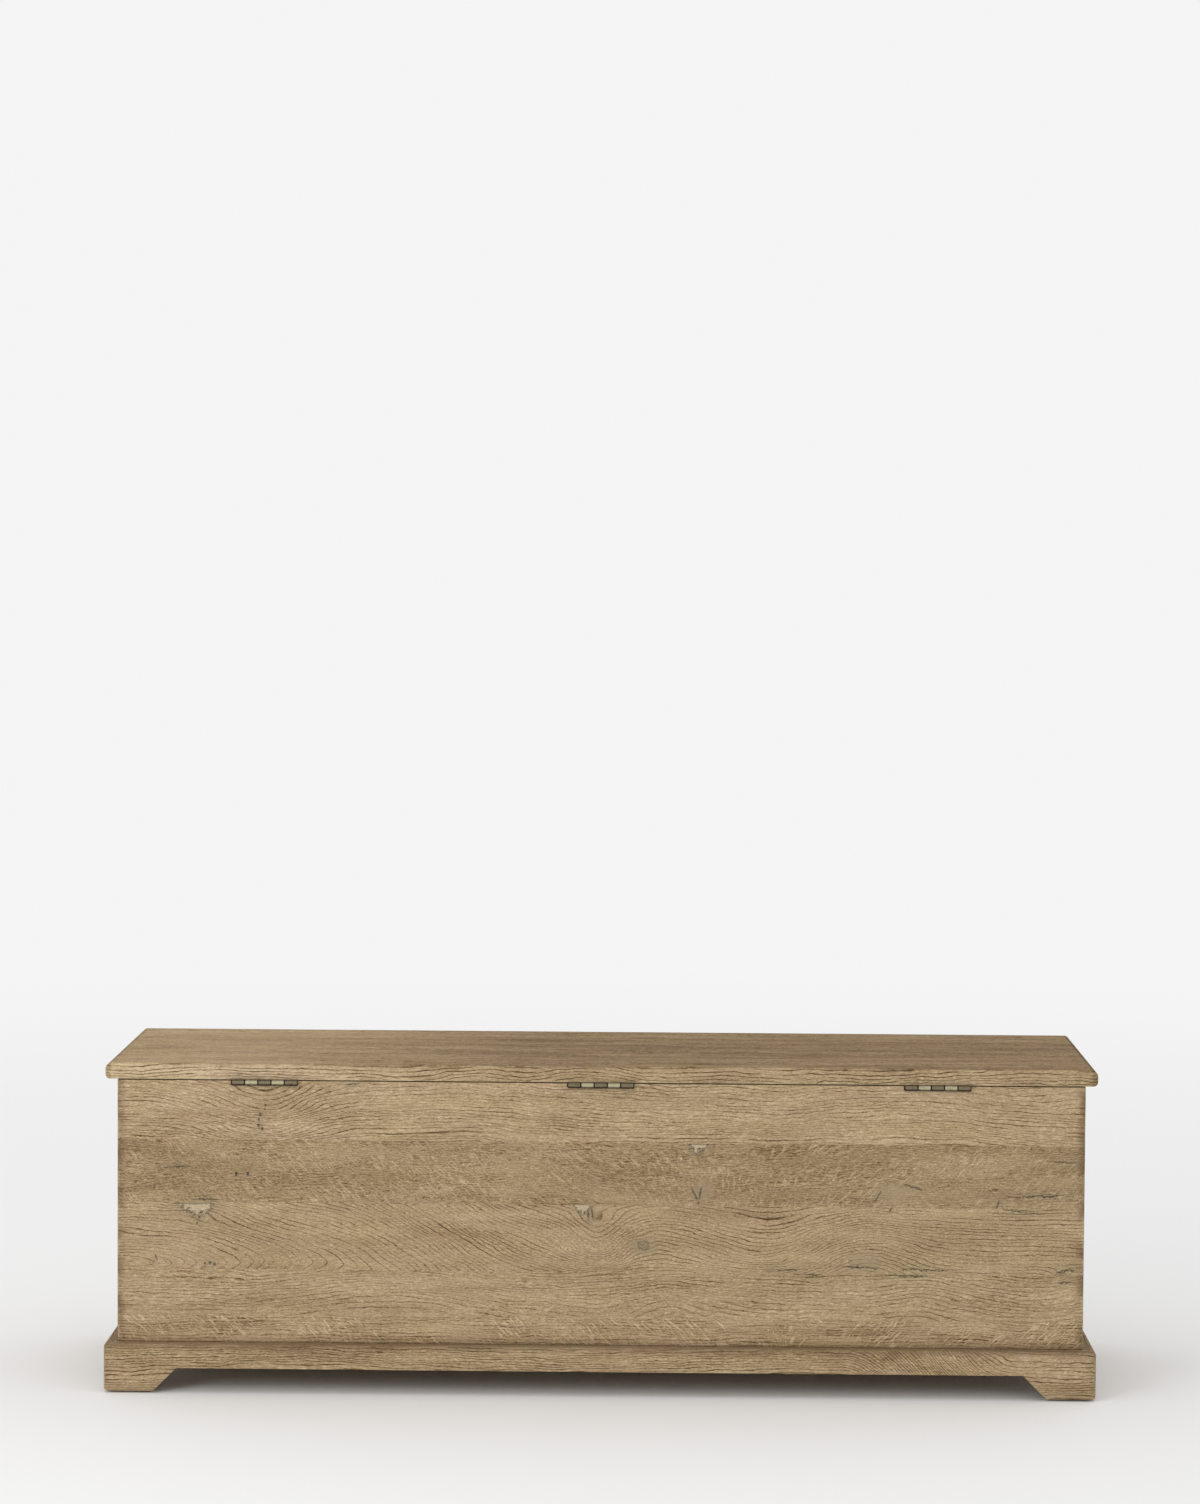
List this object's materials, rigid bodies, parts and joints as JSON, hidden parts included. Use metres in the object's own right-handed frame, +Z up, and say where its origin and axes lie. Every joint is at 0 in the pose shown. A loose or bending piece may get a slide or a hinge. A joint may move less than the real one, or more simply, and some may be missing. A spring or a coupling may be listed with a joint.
{
  "type": "wooden chest",
  "caption": "Long low oak blanket chest: mitred plank box on a bracket-foot plinth, overhanging plank lid on butt hinges with slotted lid stays.",
  "frame": {"origin": "on the floor, under the middle of the plinth", "axes": "+X along the chest's length to the right of someone facing its front, +Y towards the hinges at the rear, +Z up; the front faces -Y"},
  "size_m": [1.524, 0.476, 0.508],
  "materials": {
    "carcass_oak": "brushed, weathered oak, matt lacquer",
    "lid_oak": "brushed, weathered oak, matt lacquer",
    "plinth_oak": "brushed, weathered oak, matt lacquer",
    "inner_oak": "planed oak, unstained",
    "floor_ply": "oak-faced plywood",
    "hinge_brass": "antique brass, dull",
    "stay_brass": "antique brass, satin",
    "screw_brass": "antique brass",
    "bumper_felt": "brown felt",
    "glide_nylon": "off-white nylon"
  },
  "bodies": {
    "carcass": {"back_board_1": "carcass_oak", "back_board_2": "carcass_oak", "back_board_3": "carcass_oak", "back_board_4": "carcass_oak", "back_board_5": "carcass_oak", "front_board_1": "carcass_oak", "front_board_2": "carcass_oak", "front_board_3": "carcass_oak", "front_board_4": "carcass_oak", "left_side_board_1": "carcass_oak", "left_side_board_2": "carcass_oak", "left_side_board_3": "carcass_oak", "left_side_board_4": "carcass_oak", "right_side_board_1": "carcass_oak", "right_side_board_2": "carcass_oak", "right_side_board_3": "carcass_oak", "right_side_board_4": "carcass_oak", "corner_splines": "inner_oak", "floor_panel": "floor_ply", "floor_ledger_front": "inner_oak", "floor_ledger_back": "inner_oak", "floor_ledger_left": "inner_oak", "floor_ledger_right": "inner_oak", "plinth_front": "plinth_oak", "plinth_back": "plinth_oak", "plinth_left": "plinth_oak", "plinth_right": "plinth_oak", "foot_block_front_left": "inner_oak", "foot_block_front_right": "inner_oak", "foot_block_back_left": "inner_oak", "foot_block_back_right": "inner_oak", "foot_glides": "glide_nylon", "hinge_left_body_leaf": "hinge_brass", "hinge_left_pin": "hinge_brass", "hinge_centre_body_leaf": "hinge_brass", "hinge_centre_pin": "hinge_brass", "hinge_right_body_leaf": "hinge_brass", "hinge_right_pin": "hinge_brass", "stay_left_guide_plate": "stay_brass", "stay_right_guide_plate": "stay_brass", "stay_studs": "stay_brass", "carcass_screws": "screw_brass", "lid_bumpers": "bumper_felt"},
    "lid": {"lid_board_1": "lid_oak", "lid_board_2": "lid_oak", "lid_board_3": "lid_oak", "lid_board_4": "lid_oak", "lid_batten_left": "inner_oak", "lid_batten_centre": "inner_oak", "lid_batten_right": "inner_oak", "batten_screws": "screw_brass", "lid_screws": "screw_brass", "stay_rivets": "stay_brass", "hinge_left_lid_leaf": "hinge_brass", "hinge_centre_lid_leaf": "hinge_brass", "hinge_right_lid_leaf": "hinge_brass", "stay_left_lid_bracket": "stay_brass", "stay_right_lid_bracket": "stay_brass"},
    "stay_arm_left": {"stay_left_arm": "stay_brass"},
    "stay_arm_right": {"stay_right_arm": "stay_brass"}
  },
  "joints": [
    {"name": "lid_hinge", "type": "hinge", "parent": "carcass", "child": "lid", "pos_m": [0, 0.2239, 0.4793], "axis": [-1, 0, 0], "range_deg": [0, 95]},
    {"name": "stay_left_pivot", "type": "hinge", "parent": "lid", "child": "stay_arm_left", "pos_m": [-0.7205, 0.0439, 0.471], "axis": [-1, 0, 0], "range_deg": [-48, 0]},
    {"name": "stay_right_pivot", "type": "hinge", "parent": "lid", "child": "stay_arm_right", "pos_m": [0.7205, 0.0439, 0.471], "axis": [-1, 0, 0], "range_deg": [-48, 0]}
  ],
  "couplings": [
    {"joint": "stay_left_pivot", "follows": "lid_hinge", "ratio": -0.5},
    {"joint": "stay_right_pivot", "follows": "lid_hinge", "ratio": -0.5}
  ]
}
